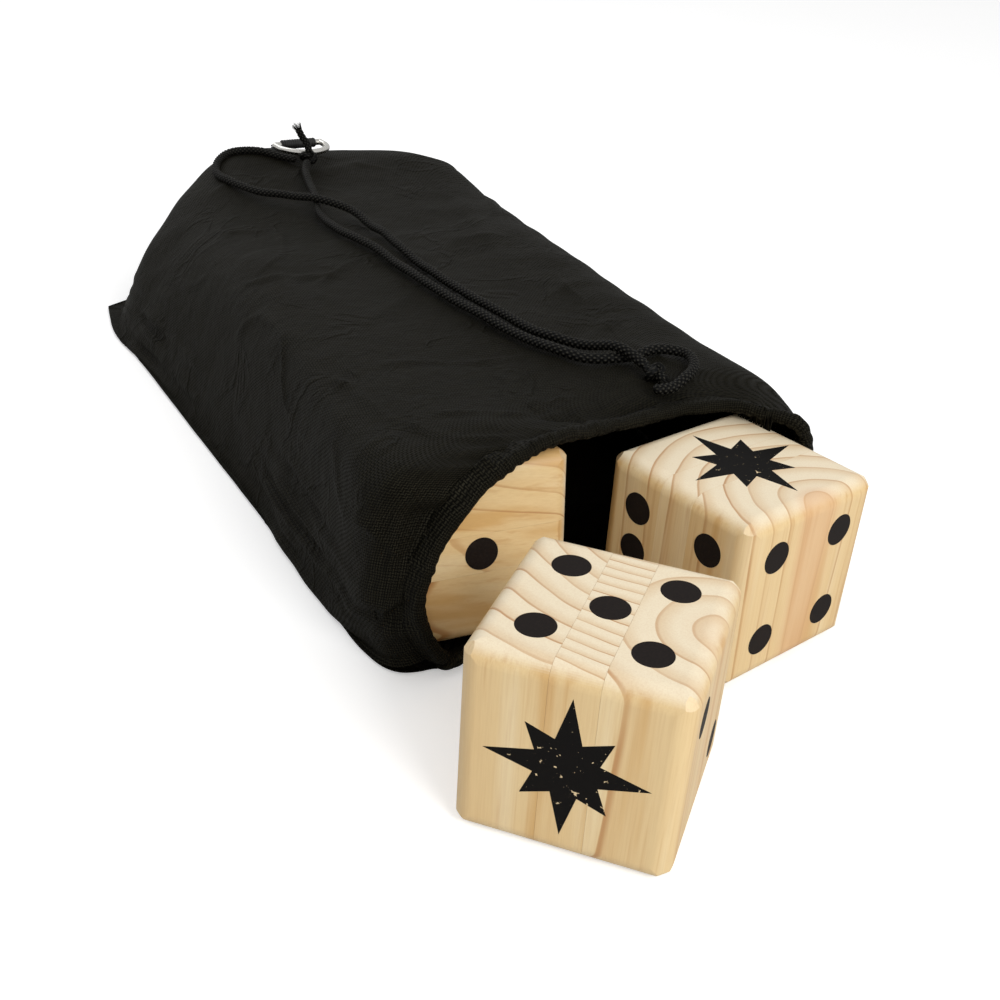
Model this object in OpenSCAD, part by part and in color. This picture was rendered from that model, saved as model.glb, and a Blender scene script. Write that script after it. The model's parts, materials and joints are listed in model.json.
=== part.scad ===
// Giant yard dice: six laminated pine dice and the drawstring bag they are carried in.
// The bag lies on its side with its mouth towards -Y; the origin is on the ground, just inside the mouth.

/* [Dice] */
// Edge length of a die
die_edge = 88.9; // [88:0.1:89.5]
// Rounding of a die's edges
edge_r = 8; // [6:0.5:9]
// Width of the core strip glued between the two outer boards
core_w = 19.6; // [18:0.2:22]
// Diameter of a pip
pip_d = 16.2; // [14:0.2:18]
// Distance of a corner pip from the middle of its face
pip_step = 22.4; // [20:0.2:24]
// Depth of the recess that a pip or the stamp sits in
inlay_depth = 0.8; // [0.6:0.1:1.2]
// Diameter of the star stamp
stamp_d = 66; // [56:1:68]

/* [Bag] */
// Thickness of the bag's fabric, hemmed and doubled
fabric_t = 1; // [0.8:0.1:1.2]
// Outside diameter of the gathered hem
hem_d = 11; // [10:0.5:11]
// Diameter of the braided cord
cord_d = 6; // [5:0.5:6]

/* [Ring] */
// Outside width of the D-ring
ring_w = 42; // [38:1:44]
// Diameter of the ring's wire
wire_d = 4.5; // [3.5:0.5:5]
// Width of the webbing tab
tab_w = 28; // [20:1:30]

/* [Hidden] */
DICE = ["front", "right", "left", "inner_left", "inner_right", "back"];

half = die_edge / 2;
// Clearance between pieces that only touch
gap = 0.15;
// The star of the stamp: its points, and how deep the valleys between them go
star_points = 8;
star_waist = 0.42;

// Where each die lies: its centre, its turns about X and Z, the turns that bring its faces round, and
// the turns that lay its grain. The left die is tipped back because it rests on the rolled hem.
rest_z = half;
bag_floor = fabric_t + gap;
tip_angle = -6.6;
tipped_z = bag_floor + (half - edge_r) * (cos(tip_angle) - sin(tip_angle)) + edge_r;
POSES = [
    [[-95.2, -169.6, rest_z], 0, -46.7, [0, 0, 0], [0, 0, 0]],
    [[26.6, -89.2, rest_z], 0, -78, [-90, 0, 90], [0, 0, 0]],
    [[-95.7, -24, tipped_z], tip_angle, -3.3, [0, 180, 180], [0, 90, 0]],
    [[-66, 132, bag_floor + half], 0, 3, [90, 0, 0], [90, 0, 0]],
    [[31, 153, bag_floor + half], 0, -4, [0, 90, 0], [0, 0, 0]],
    [[8, 368, bag_floor + half], 0, 18, [180, 0, 90], [0, 90, 90]],
];

// ---- Dice ----

module face_profile() {
    side = die_edge - 2 * edge_r;
    square([die_edge, side], center = true);
    square([side, die_edge], center = true);
    for (sx = [-1, 1], sy = [-1, 1])
        translate([sx * side / 2, sy * side / 2]) circle(r = edge_r, $fn = 48);
}

module face_prism() {
    translate([0, 0, -half]) linear_extrude(die_edge) face_profile();
}

// A cube with every edge rounded; the sphere sands the eight corners.
module die_blank() {
    corner_reach = (half - edge_r) * sqrt(3) + edge_r + gap;
    intersection() {
        face_prism();
        rotate([90, 0, 0]) face_prism();
        rotate([0, 90, 0]) face_prism();
        sphere(r = corner_reach, $fn = 96);
    }
}

// Pips of each face as steps from the face's middle. The stamp takes the place of the one.
TWO = [[1, 1], [-1, -1]];
THREE = [[-1, 1], [0, 0], [1, -1]];
FOUR = [for (x = [-1, 1], y = [-1, 1]) [x, y]];
FIVE = concat(FOUR, [[0, 0]]);
SIX = [for (x = [-1, 1], y = [-1, 0, 1]) [x, y]];
// Each face: the turns that bring it up from the top face, and its pips
FACES = [
    [[0, 0, 0], FIVE],
    [[0, 90, 0], TWO],
    [[0, -90, 0], SIX],
    [[-90, 0, 0], THREE],
    [[180, 0, 0], FOUR],
];

// Discs of one size at every pip, standing from the recess floor upwards
module pip_discs(d, floor_gap, h) {
    for (face = FACES)
        rotate(face[0])
            for (p = face[1])
                translate([p[0] * pip_step, p[1] * pip_step, half - inlay_depth + floor_gap])
                    cylinder(d = d, h = h, $fn = 48);
}

// Outline of the stamp: long and short star points around a plain middle
module star_outline(d) {
    function reach(i) = i % 2 == 1 ? star_waist : (i % 4 == 0 ? 1 : 0.74);
    polygon([for (i = [0 : 2 * star_points - 1])
        let (a = i * 180 / star_points) d / 2 * reach(i) * [cos(a), sin(a)]]);
}

module stamp_block(d, floor_gap, h) {
    rotate([90, 0, 0])
        translate([0, 0, half - inlay_depth + floor_gap]) linear_extrude(h) star_outline(d);
}

// One third of a die's thickness: side -1 and 1 are the outer boards, 0 is the core strip.
module board_slab(side) {
    outer_w = half - core_w / 2 + 1;
    w = side == 0 ? core_w - gap : outer_w;
    x = side == 0 ? -w / 2 : (side > 0 ? core_w / 2 : -core_w / 2 - outer_w);
    translate([x, -half - 1, -half - 1]) cube([w, die_edge + 2, die_edge + 2]);
}

module lay(die) {
    pose = POSES[die];
    translate(pose[0]) rotate([0, 0, pose[2]]) rotate([pose[1], 0, 0]) children();
}

module board(die, side) {
    color(side == 0 ? "navajowhite" : "wheat")
        lay(die)
            difference() {
                intersection() {
                    die_blank();
                    rotate(POSES[die][4]) board_slab(side);
                }
                rotate(POSES[die][3]) {
                    pip_discs(pip_d, 0, inlay_depth + 1);
                    stamp_block(stamp_d, 0, inlay_depth + 1);
                }
            }
}

module pips(die) {
    color("black")
        lay(die) rotate(POSES[die][3])
            pip_discs(pip_d - 2 * gap, gap / 3, inlay_depth);
}

module stamp(die) {
    color("black")
        lay(die) rotate(POSES[die][3])
            stamp_block(stamp_d - 3 * gap, gap / 3, inlay_depth);
}

module die_piece(die, piece) {
    if (piece == "outer_board") board(die, -1);
    if (piece == "core_strip") board(die, 0);
    if (piece == "inner_board") board(die, 1);
    if (piece == "pips") pips(die);
    if (piece == "stamp") stamp(die);
}

// ---- Curves and swept shapes ----

function unit(v) = v / norm(v);
function pick(list, i) = list[max(0, min(len(list) - 1, i))];

// Smooth curve through four neighbouring points, at f from the second to the third
function through(a, b, c, d, f) =
    b + f / 2 * ((c - a) + f * ((2 * a - 5 * b + 4 * c - d) + f * (3 * b - a - 3 * c + d)));

// A point on the smooth open curve through a list of points, at t from 0 to 1
function on_curve(list, t) =
    let (s = t * (len(list) - 1), i = min(floor(s), len(list) - 2))
    through(pick(list, i - 1), list[i], list[i + 1], pick(list, i + 2), s - i);

// The same on a closed curve
function on_loop(list, t) =
    let (n = len(list), s = t * n, i = floor(s))
    through(list[(i + n - 1) % n], list[i % n], list[(i + 1) % n], list[(i + 2) % n], s - i);

// Faces of a grid of rows by cols points, numbered from start; turned over when back is true
function grid_faces(rows, cols, start, back) =
    [for (r = [0 : rows - 2], c = [0 : cols - 2], tri = [0, 1])
        let (a = start + r * cols + c, b = a + 1, d = a + cols, e = d + 1,
             f = tri == 0 ? [a, b, e] : [a, e, d])
        back ? [f[2], f[1], f[0]] : f];

// Ring of points around one point of a path; the path never runs along the vector called level
function ring_at(p, dir, level, r, sides) =
    let (side = unit(cross(dir, level)), up = cross(side, dir))
    [for (k = [0 : sides - 1]) p + r * (cos(360 * k / sides) * side + sin(360 * k / sides) * up)];

function tube_wall(n, sides, closed, start, back) =
    [for (i = [0 : n - (closed ? 1 : 2)], k = [0 : sides - 1], tri = [0, 1])
        let (j = (i + 1) % n, m = (k + 1) % sides,
             a = start + i * sides + k, b = start + i * sides + m,
             c = start + j * sides + m, d = start + j * sides + k,
             f = tri == 0 ? [a, b, c] : [a, c, d])
        back ? [f[2], f[1], f[0]] : f];

// Round cord along an open path, with pointed ends
module cord(path, r, level = [0, 0, 1], sides = 8) {
    n = len(path);
    dirs = [for (i = [0 : n - 1]) unit(pick(path, i + 1) - pick(path, i - 1))];
    rings = [for (i = [0 : n - 1], p = ring_at(path[i], dirs[i], level, r, sides)) p];
    ends = [path[0] - dirs[0] * r / 2, path[n - 1] + dirs[n - 1] * r / 2];
    caps = [for (k = [0 : sides - 1], e = [0, 1])
        let (m = (k + 1) % sides, base = e * (n - 1) * sides)
        e == 0 ? [base + m, base + k, n * sides] : [base + k, base + m, n * sides + 1]];
    polyhedron(points = concat(rings, ends),
        faces = concat(tube_wall(n, sides, false, 0, false), caps));
}

// Endless tube around a closed path that faces along Y; no inner radius makes it solid
module endless_tube(path, r_out, r_in, sides = 10) {
    n = len(path);
    dirs = [for (i = [0 : n - 1]) unit(path[(i + 1) % n] - path[(i + n - 1) % n])];
    outer = [for (i = [0 : n - 1], p = ring_at(path[i], dirs[i], [0, 1, 0], r_out, sides)) p];
    inner = [for (i = [0 : n - 1], p = ring_at(path[i], dirs[i], [0, 1, 0], max(r_in, 1), sides)) p];
    if (r_in > 0)
        difference() {
            polyhedron(points = outer, faces = tube_wall(n, sides, true, 0, false));
            polyhedron(points = inner, faces = tube_wall(n, sides, true, 0, false));
        }
    else
        polyhedron(points = outer, faces = tube_wall(n, sides, true, 0, false));
}

// ---- Bag ----

hem_r = hem_d / 2;
seam_z = 2 * fabric_t + 3 * gap;
// Middle line of the hem, from the ground left of the mouth, up and over the left die, across the
// right die, down its far side and back along the ground behind and between the dice.
MOUTH = [
    [-121, -78, 9], [-133.5, -77.6, 33], [-131, -75, 54], [-120, -73, 75], [-105, -72, 92],
    [-86, -70, 103], [-62, -65, 106], [-38, -56, 102], [-8, -46, 97], [22, -40, 95.5],
    [47, -44, 95.5], [60.5, -59, 95.7], [71, -75, 93.3], [82, -70, 65], [83, -52, 36],
    [78, -32, 13], [50, -20, 6], [8, -22, 6], [-28, -38, 6], [-50, -70, 6], [-78, -76, 6],
    [-104, -74.5, 6],
];
// Of those, the ones where the upper panel starts: left ground, left side, left shoulder, top,
// right shoulder, right side, right ground
MOUTH_STARTS = [0, 2, 4, 7.5, 11.3, 14, 15.4];

// Further rows of the upper panel, with the same seven places, from the mouth to the base seam
ROWS = [
    [[-147, -57, seam_z], [-155, -54, 45], [-143, -50, 100.5], [-36, -22, 105], [84, -25, 97.2],
     [90, -30, 50], [94, -8, seam_z]],
    [[-153, 60, seam_z], [-150, 60, 50], [-126, 55, 99], [-22, 60, 101], [82, 45, 97],
     [96, 50, 50], [101, 60, seam_z]],
    [[-161, 200, seam_z], [-149, 200, 50], [-118, 200, 96], [-14, 200, 98], [88, 195, 96],
     [104, 200, 50], [110, 200, seam_z]],
    [[-167, 320, seam_z], [-152, 330, 52], [-104, 335, 92], [-6, 345, 94], [96, 320, 93],
     [112, 325, 50], [118, 325, seam_z]],
    [[-172, 372, seam_z], [-136, 400, 56], [-66, 460, 92], [12, 480, 94], [98, 442, 91],
     [118, 440, 48], [126, 445, seam_z]],
    [[-166, 424, seam_z], [-120, 452, seam_z], [-62, 486, seam_z], [15, 506, seam_z],
     [84, 506, seam_z], [116, 498, seam_z], [128, 486, seam_z]],
];

function mouth_point(s) = on_loop(MOUTH, s / len(MOUTH));

hem_clearance = 1.8;
// Point just clear of the hem, on the way from the hem's middle line to a point of the panel
function off_hem(s, towards) =
    let (m = mouth_point(s)) m + unit(towards - m) * (hem_r + hem_clearance);

// Rows over which the panel's front edge is drawn onto the hem
hem_rows = 5;
panel_rows = 25;
panel_cols = 33;

function panel_net() =
    concat([[for (i = [0 : len(MOUTH_STARTS) - 1]) off_hem(MOUTH_STARTS[i], ROWS[0][i])]], ROWS);

// Points of the upper panel's outer surface, smooth along the bag and across it, with the first row
// just clear of the hem all the way round
function panel_grid() =
    let (net = panel_net(),
         smooth = [for (r = [0 : panel_rows - 1])
            let (v = r / (panel_rows - 1), column = [for (k = [0 : 6]) on_curve([for (row = net) row[k]], v)])
            [for (c = [0 : panel_cols - 1]) on_curve(column, c / (panel_cols - 1))]],
         shift = [for (c = [0 : panel_cols - 1])
            off_hem(on_curve(MOUTH_STARTS, c / (panel_cols - 1)), smooth[hem_rows][c]) - smooth[0][c]])
    [for (r = [0 : panel_rows - 1])
        [for (c = [0 : panel_cols - 1]) smooth[r][c] + shift[c] * max(0, 1 - r / hem_rows)]];

function grid_normal(g, r, c) =
    unit(cross(pick(g, r + 1)[c] - pick(g, r - 1)[c], pick(g[r], c + 1) - pick(g[r], c - 1)));

module bag_upper_panel() {
    g = panel_grid();
    cells = panel_rows * panel_cols;
    outer = [for (row = g, p = row) p];
    inner = [for (r = [0 : panel_rows - 1], c = [0 : panel_cols - 1])
        g[r][c] + fabric_t * grid_normal(g, r, c)];
    last = (panel_rows - 1) * panel_cols;
    border = concat(
        [for (c = [0 : panel_cols - 2]) [c, c + 1]],
        [for (r = [0 : panel_rows - 2]) [(r + 1) * panel_cols - 1, (r + 2) * panel_cols - 1]],
        [for (c = [panel_cols - 1 : -1 : 1]) [last + c, last + c - 1]],
        [for (r = [panel_rows - 1 : -1 : 1]) [r * panel_cols, (r - 1) * panel_cols]]);
    rim = [for (e = border, tri = [0, 1])
        tri == 0 ? [e[0], e[1] + cells, e[0] + cells] : [e[0], e[1], e[1] + cells]];
    color([0.09, 0.09, 0.09])
        polyhedron(points = concat(outer, inner),
            faces = concat(grid_faces(panel_rows, panel_cols, 0, true),
                grid_faces(panel_rows, panel_cols, cells, false), rim));
}

// Flat on the ground: its outline is the hem's ground stretch, the two sides and the base seam
module bag_lower_panel() {
    steps = 8;
    hem_from = 15.6;
    hem_to = 21.8;
    hem_side = [for (i = [0 : 2 * steps])
        let (m = mouth_point(hem_from + (hem_to - hem_from) * i / (2 * steps)))
        [m[0], m[1] + hem_r + 1.2]];
    sides = [0, 6];
    left = [for (i = [0 : 2 * steps])
        let (p = on_curve([for (row = ROWS) row[sides[0]]], i / (2 * steps))) [p[0], p[1]]];
    base = [for (i = [1 : steps]) let (p = on_curve(ROWS[5], i / steps)) [p[0], p[1]]];
    right = [for (i = [1 : 2 * steps])
        let (p = on_curve([for (row = ROWS) row[sides[1]]], 1 - i / (2 * steps))) [p[0], p[1]]];
    color([0.07, 0.07, 0.07])
        linear_extrude(fabric_t) polygon(concat(hem_side, left, base, right));
}

hem_steps = 66;
function hem_path() = [for (i = [0 : hem_steps - 1]) on_loop(MOUTH, i / hem_steps)];

module bag_hem_channel() {
    color([0.11, 0.11, 0.11]) endless_tube(hem_path(), hem_r, cord_d / 2 + 0.6);
}

module hem_cord() {
    color([0.05, 0.05, 0.05]) endless_tube(hem_path(), cord_d / 2, 0, 8);
}

// ---- Drawcord ----

cord_r = cord_d / 2;
knot_r = 5;
hitch_r = 6.5;
// The hitch that ties the cord to the bag, in front of the D-ring
HITCH = [-10, 415, 106.7];
// From the hem, round in a loop over the right die, and up the bag to the hitch
RISING = [
    [10, -34, 107.5], [26, -31, 108.3], [44, -18, 107.3], [52, 0, 106.5], [40, 10, 106.7], [22, 10, 106.8],
    [6, 14, 107], [-9, 30, 106.5], [-19, 72, 105], [-26, 114, 104], [-31, 158, 103.5],
    [-34, 216, 102], [-41, 263, 101], [-41, 304, 100.5], [-34, 332, 100.5], [-27, 366, 101],
    [-21, 392, 102.5], [-14, 408, 104.6],
];
// From the hitch, out in a loop at the back corner, and down the bag to a knotted end
FALLING = [
    [-19, 419, 104.4], [-31, 431, 104.6], [-43, 444, 105.1], [-60, 449, 103.5], [-76, 430, 102],
    [-81, 405, 102],
    [-70, 368, 102.5], [-51, 340, 103.5], [-37, 318, 106], [-22, 294, 103], [-18, 252, 101.5],
    [-18, 212, 101.5], [-16, 135, 103.5], [-10, 89, 105], [-4, 53, 106], [7, 32, 107.5],
    [17, 12, 112.5], [22, -8, 109.3],
];
END_KNOT = FALLING[len(FALLING) - 1] + (cord_r / 2 + knot_r + gap) * unit([0.05, -1, 0]);
TAIL = [HITCH + [0, 0, hitch_r + 1.2], HITCH + [1, 1, hitch_r + 9], HITCH + [-1, 1, hitch_r + 18]];
cord_steps = 90;

module drawcord() {
    color([0.05, 0.05, 0.05]) {
        for (path = [RISING, FALLING])
            cord([for (i = [0 : cord_steps]) on_curve(path, i / cord_steps)], cord_r);
        cord(TAIL, cord_r - 0.6, [0, 1, 0]);
    }
}

module cord_knots() {
    color([0.05, 0.05, 0.05]) {
        translate(HITCH) sphere(r = hitch_r, $fn = 32);
        translate(END_KNOT) sphere(r = knot_r, $fn = 32);
    }
}

// ---- D-ring and its tab ----

wire_r = wire_d / 2;
bend_r = ring_w / 2 - wire_r;
leg = 8;
RING_AT = [-6, 453, 105.6];
ring_turn = 6;
tab_t = 1.5;
tab_tail = 21;
tab_slope = -10;

module at_ring() {
    translate(RING_AT) rotate([0, 0, ring_turn]) children();
}

// The straight bar lies along X; the bend points to the mouth
module d_ring() {
    color("silver")
        at_ring() {
            rotate([0, 90, 0]) cylinder(r = wire_r, h = 2 * bend_r, center = true, $fn = 48);
            for (side = [-1, 1])
                translate([side * bend_r, 0, 0]) {
                    sphere(r = wire_r, $fn = 48);
                    rotate([90, 0, 0]) cylinder(r = wire_r, h = leg, $fn = 48);
                }
            translate([0, -leg, 0]) rotate([0, 0, 180])
                rotate_extrude(angle = 180, $fn = 96) translate([bend_r, 0]) circle(r = wire_r, $fn = 48);
        }
}

// Webbing folded round the bar, with its two ends sewn down behind it
module ring_tab() {
    bore_r = wire_r + gap;
    color([0.07, 0.07, 0.07])
        at_ring() rotate([90, 0, 90]) translate([0, 0, -tab_w / 2])
            linear_extrude(tab_w)
                difference() {
                    union() {
                        circle(r = bore_r + tab_t, $fn = 48);
                        rotate(tab_slope) translate([0, gap - bore_r - tab_t]) square([tab_tail, 2 * tab_t]);
                    }
                    circle(r = bore_r, $fn = 48);
                }
}

for (d = [0 : len(DICE) - 1], piece = ["outer_board", "core_strip", "inner_board", "pips", "stamp"])
    die_piece(d, piece);
bag_upper_panel();
bag_lower_panel();
bag_hem_channel();
hem_cord();
drawcord();
cord_knots();
ring_tab();
d_ring();
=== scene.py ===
"""Giant yard dice and their drawstring bag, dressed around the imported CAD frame.

The dice keep their CAD boards and get laminated pine, painted pips and a worn ink star. The bag's plain
CAD panels are replaced by draped cloth with a gathered hem, the plain cords by braided ones, and the
tab by ribbed webbing. All lengths are in metres unless a name ends in _MM.
"""
import json
import math

import bmesh
import bpy
import numpy as np
from mathutils import Euler, Matrix, Vector
from mathutils.bvhtree import BVHTree


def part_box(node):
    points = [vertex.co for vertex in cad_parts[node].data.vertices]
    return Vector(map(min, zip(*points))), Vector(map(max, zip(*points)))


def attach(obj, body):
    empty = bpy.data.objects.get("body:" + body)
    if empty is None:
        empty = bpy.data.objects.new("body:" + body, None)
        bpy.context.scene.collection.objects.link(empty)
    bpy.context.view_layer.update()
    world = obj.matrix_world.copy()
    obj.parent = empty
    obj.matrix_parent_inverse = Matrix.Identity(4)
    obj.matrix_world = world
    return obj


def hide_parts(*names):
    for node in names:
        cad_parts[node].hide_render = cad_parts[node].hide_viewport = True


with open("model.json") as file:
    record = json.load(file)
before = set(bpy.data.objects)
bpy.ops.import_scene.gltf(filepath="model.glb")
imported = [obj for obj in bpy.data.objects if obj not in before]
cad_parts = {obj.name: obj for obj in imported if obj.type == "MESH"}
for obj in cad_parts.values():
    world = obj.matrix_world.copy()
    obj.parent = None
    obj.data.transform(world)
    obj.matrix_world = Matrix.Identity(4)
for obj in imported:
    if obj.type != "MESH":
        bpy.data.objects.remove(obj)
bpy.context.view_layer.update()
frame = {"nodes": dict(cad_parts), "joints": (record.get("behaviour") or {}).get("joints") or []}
rng = np.random.default_rng(7)

MM = 0.001
DICE = ("front", "right", "left", "inner_left", "inner_right", "back")
DICE_IN_BAG = DICE[2:]
WOOD_PIECES = ("outer_board", "core_strip", "inner_board")

# How each die lies: turn about Z, tip about X, and the turns that lay its grain, in degrees
DIE_LIE = {
    "front": (-46.7, 0.0, (0, 0, 0)),
    "right": (-78.0, 0.0, (0, 0, 0)),
    "left": (-3.3, -6.6, (0, 90, 0)),
    "inner_left": (3.0, 0.0, (90, 0, 0)),
    "inner_right": (-4.0, 0.0, (0, 0, 0)),
    "back": (18.0, 0.0, (0, 90, 90)),
}


# ---------------------------------------------------------------- node helpers

class Nodes:
    """Short ways to add and join shader nodes of one material."""

    def __init__(self, name):
        self.mat = bpy.data.materials.new(name)
        self.mat.use_nodes = True
        self.tree = self.mat.node_tree
        self.tree.nodes.clear()
        self.out = self.tree.nodes.new("ShaderNodeOutputMaterial")
        self.bsdf = self.tree.nodes.new("ShaderNodeBsdfPrincipled")
        self.join(self.bsdf.outputs[0], self.out.inputs[0])

    def join(self, a, b):
        self.tree.links.new(a, b)

    def put(self, socket, value):
        if isinstance(value, bpy.types.NodeSocket):
            self.join(value, socket)
        else:
            socket.default_value = value

    def add(self, kind, **settings):
        node = self.tree.nodes.new("ShaderNode" + kind)
        for key, value in settings.items():
            setattr(node, key, value)
        return node

    def math(self, operation, a, b=0.0, c=0.0, clamp=False):
        node = self.add("Math", operation=operation, use_clamp=clamp)
        for socket, value in zip(node.inputs, (a, b, c)):
            self.put(socket, value)
        return node.outputs[0]

    def vector(self, operation, a, b=(0, 0, 0)):
        node = self.add("VectorMath", operation=operation)
        self.put(node.inputs[0], a)
        self.put(node.inputs[1], b)
        return node.outputs["Value" if operation in ("LENGTH", "DOT_PRODUCT") else "Vector"]

    def noise(self, vector, scale, detail=2.0, roughness=0.5, distortion=0.0):
        node = self.add("TexNoise")
        self.put(node.inputs["Vector"], vector)
        for key, value in (("Scale", scale), ("Detail", detail), ("Roughness", roughness),
                           ("Distortion", distortion)):
            self.put(node.inputs[key], value)
        return node.outputs["Fac"]

    def ramp(self, value, low, high, out_low=0.0, out_high=1.0, kind="SMOOTHSTEP"):
        node = self.add("MapRange", interpolation_type=kind)
        for socket, v in zip(node.inputs, (value, low, high, out_low, out_high)):
            self.put(socket, v)
        return node.outputs[0]

    def mix(self, factor, a, b, blend="MIX"):
        node = self.add("Mix", data_type="RGBA", blend_type=blend)
        self.put(node.inputs[0], factor)
        self.put(node.inputs[6], a)
        self.put(node.inputs[7], b)
        return node.outputs[2]

    def place(self, vector, location=(0, 0, 0), rotation=(0, 0, 0), scale=(1, 1, 1), kind="POINT"):
        node = self.add("Mapping", vector_type=kind)
        self.put(node.inputs["Vector"], vector)
        self.put(node.inputs["Location"], location)
        self.put(node.inputs["Rotation"], rotation)
        self.put(node.inputs["Scale"], scale)
        return node.outputs[0]

    def object_coords(self):
        return self.add("TexCoord").outputs["Object"]

    def bump(self, height, distance, strength=1.0, normal=None):
        node = self.add("Bump")
        self.put(node.inputs["Height"], height)
        node.inputs["Distance"].default_value = distance
        node.inputs["Strength"].default_value = strength
        if normal is not None:
            self.join(normal, node.inputs["Normal"])
        return node.outputs[0]

    def finish(self, **values):
        for key, value in values.items():
            self.put(self.bsdf.inputs[key.replace("_", " ")], value)
        return self.mat


def rgb(r, g, b):
    """Screen colour 0-255 to the linear colour that shaders use."""
    def linear(c):
        c = c / 255
        return c / 12.92 if c <= 0.04045 else ((c + 0.055) / 1.055) ** 2.4
    return (linear(r), linear(g), linear(b), 1.0)


# ---------------------------------------------------------------- wood

PALE = rgb(248, 233, 203)
STRAW = rgb(240, 214, 164)
LATE = rgb(212, 168, 108)
HEART = rgb(226, 178, 132)


def die_centre(name):
    lows, highs = zip(*(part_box(f"{name}_die_{piece}") for piece in WOOD_PIECES))
    low = Vector(min(v[i] for v in lows) for i in range(3))
    high = Vector(max(v[i] for v in highs) for i in range(3))
    return (low + high) / 2


def grain_turn(name):
    yaw, tip, grain = DIE_LIE[name]
    turn = Matrix.Rotation(math.radians(yaw), 3, "Z") @ Matrix.Rotation(math.radians(tip), 3, "X")
    return (turn @ Euler([math.radians(a) for a in grain], "XYZ").to_matrix()).to_euler("XYZ")


def pine(label, die, pith, spacing, seed, heart=0.0, slant=0.0):
    """Sawn pine: year rings around a pith that runs along the board's grain, its local Z.

    pith is the pith's place across the grain, in mm from the die's middle, and spacing is the width of
    one year ring in mm.
    """
    n = Nodes("pine_" + label)
    at_die = n.place(n.object_coords(), tuple(die_centre(die)), tuple(grain_turn(die)), kind="TEXTURE")
    local = n.place(at_die, rotation=(math.radians(slant), math.radians(slant * 0.6), 0))
    shifted = n.vector("ADD", local, (seed * 1.7, seed * 0.9, seed * 2.3))

    along = n.place(shifted, scale=(1, 1, 0.22))
    wander = n.noise(along, 11, 1.0, 0.4)
    wobble = n.noise(along, 55, 2.0, 0.45)
    from_pith = n.vector("SUBTRACT", local, (pith[0] * MM, pith[1] * MM, 0))
    radius = n.vector("LENGTH", n.vector("MULTIPLY", from_pith, (1, 1, 0)))
    radius = n.math("MULTIPLY_ADD", n.math("SUBTRACT", wander, 0.5), 0.030, radius)
    radius = n.math("MULTIPLY_ADD", n.math("SUBTRACT", wobble, 0.5), 0.0016, radius)
    year = n.math("DIVIDE", radius, spacing * MM)
    phase = n.math("FRACT", year)
    band = n.math("FLOOR", year)
    soft = n.ramp(phase, 0.35, 0.96)
    edge = n.math("MULTIPLY", n.ramp(phase, 0.87, 0.955), n.ramp(phase, 1.0, 0.98))
    tone = n.noise(n.place(shifted, scale=(1, 1, 0.3)), 14, 2.0)
    year_tone = n.math("FRACT", n.math("MULTIPLY", n.math("SINE", n.math("MULTIPLY", band, 12.9)), 43.7))
    fade = n.noise(shifted, 30, 1.0)
    line = n.math("MULTIPLY", edge, n.ramp(year_tone, 0.0, 1.0, 0.4, 1.0, "LINEAR"))
    line = n.math("MULTIPLY", line, n.ramp(fade, 0.3, 0.6, 0.45, 1.0))

    fibre_at = n.place(shifted, scale=(1, 1, 0.03))
    fibre = n.noise(fibre_at, 1500, 3.0, 0.6)
    streak = n.noise(n.place(shifted, scale=(1, 1, 0.035)), 240, 3.0, 0.6)
    stripe = n.noise(n.place(shifted, scale=(1, 1, 0.05)), 75, 2.0, 0.5)

    normal = n.add("NewGeometry").outputs["True Normal"]
    turned = n.add("VectorTransform", vector_type="NORMAL", convert_from="WORLD", convert_to="OBJECT")
    n.join(normal, turned.inputs[0])
    grain_axis = grain_turn(die).to_matrix() @ Vector((0, 0, 1))
    end_grain = n.ramp(n.math("ABSOLUTE", n.vector("DOT_PRODUCT", turned.outputs[0], tuple(grain_axis))),
                       0.35, 0.95)

    side = n.mix(n.math("MULTIPLY", tone, 0.9), STRAW, rgb(232, 199, 142))
    side = n.mix(n.ramp(stripe, 0.50, 0.66, 0.0, 0.75), side, rgb(214, 168, 100))
    side = n.mix(n.ramp(stripe, 0.46, 0.3, 0.0, 0.5), side, rgb(248, 230, 190))
    base = n.mix(end_grain, side, PALE)
    color = n.mix(n.math("MULTIPLY", soft, n.ramp(end_grain, 0, 1, 0.22, 0.4)), base, LATE)
    color = n.mix(n.math("MULTIPLY", line, n.ramp(end_grain, 0, 1, 0.85, 0.8)), color, rgb(184, 124, 66))
    streaked = n.math("MULTIPLY", n.ramp(streak, 0.54, 0.74, 0.0, 0.42),
                      n.ramp(end_grain, 0, 1, 1.0, 0.12))
    color = n.mix(streaked, color, rgb(202, 150, 86))
    color = n.mix(n.ramp(fibre, 0.3, 0.8, 0.0, 0.16), color, rgb(190, 140, 86))
    if heart:
        near = n.ramp(radius, 0.020, 0.008, 0.0, heart)
        color = n.mix(near, color, HEART)
    height = n.math("MULTIPLY_ADD", line, -0.25, fibre)
    rough = n.ramp(fibre, 0.2, 0.9, 0.36, 0.5, "LINEAR")
    return n.finish(Base_Color=color, Roughness=rough, Normal=n.bump(height, 0.00008, 0.5),
                    Coat_Weight=0.12, Coat_Roughness=0.35)


# Pith place across the grain and ring width of each board, in mm
BOARDS = {
    "front_die_outer_board": ((4, 66), 10.5),
    "front_die_core_strip": ((20, 230), 6.5),
    "front_die_inner_board": ((44, 2), 13.0),
    "right_die_outer_board": ((46, 3), 11.5),
    "right_die_core_strip": ((46, 3), 11.5),
    "right_die_inner_board": ((46, 3), 11.5),
    "left_die_outer_board": ((-60, 20), 8.0),
    "left_die_core_strip": ((-20, 60), 7.0),
    "left_die_inner_board": ((30, 52), 8.5),
}


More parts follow.
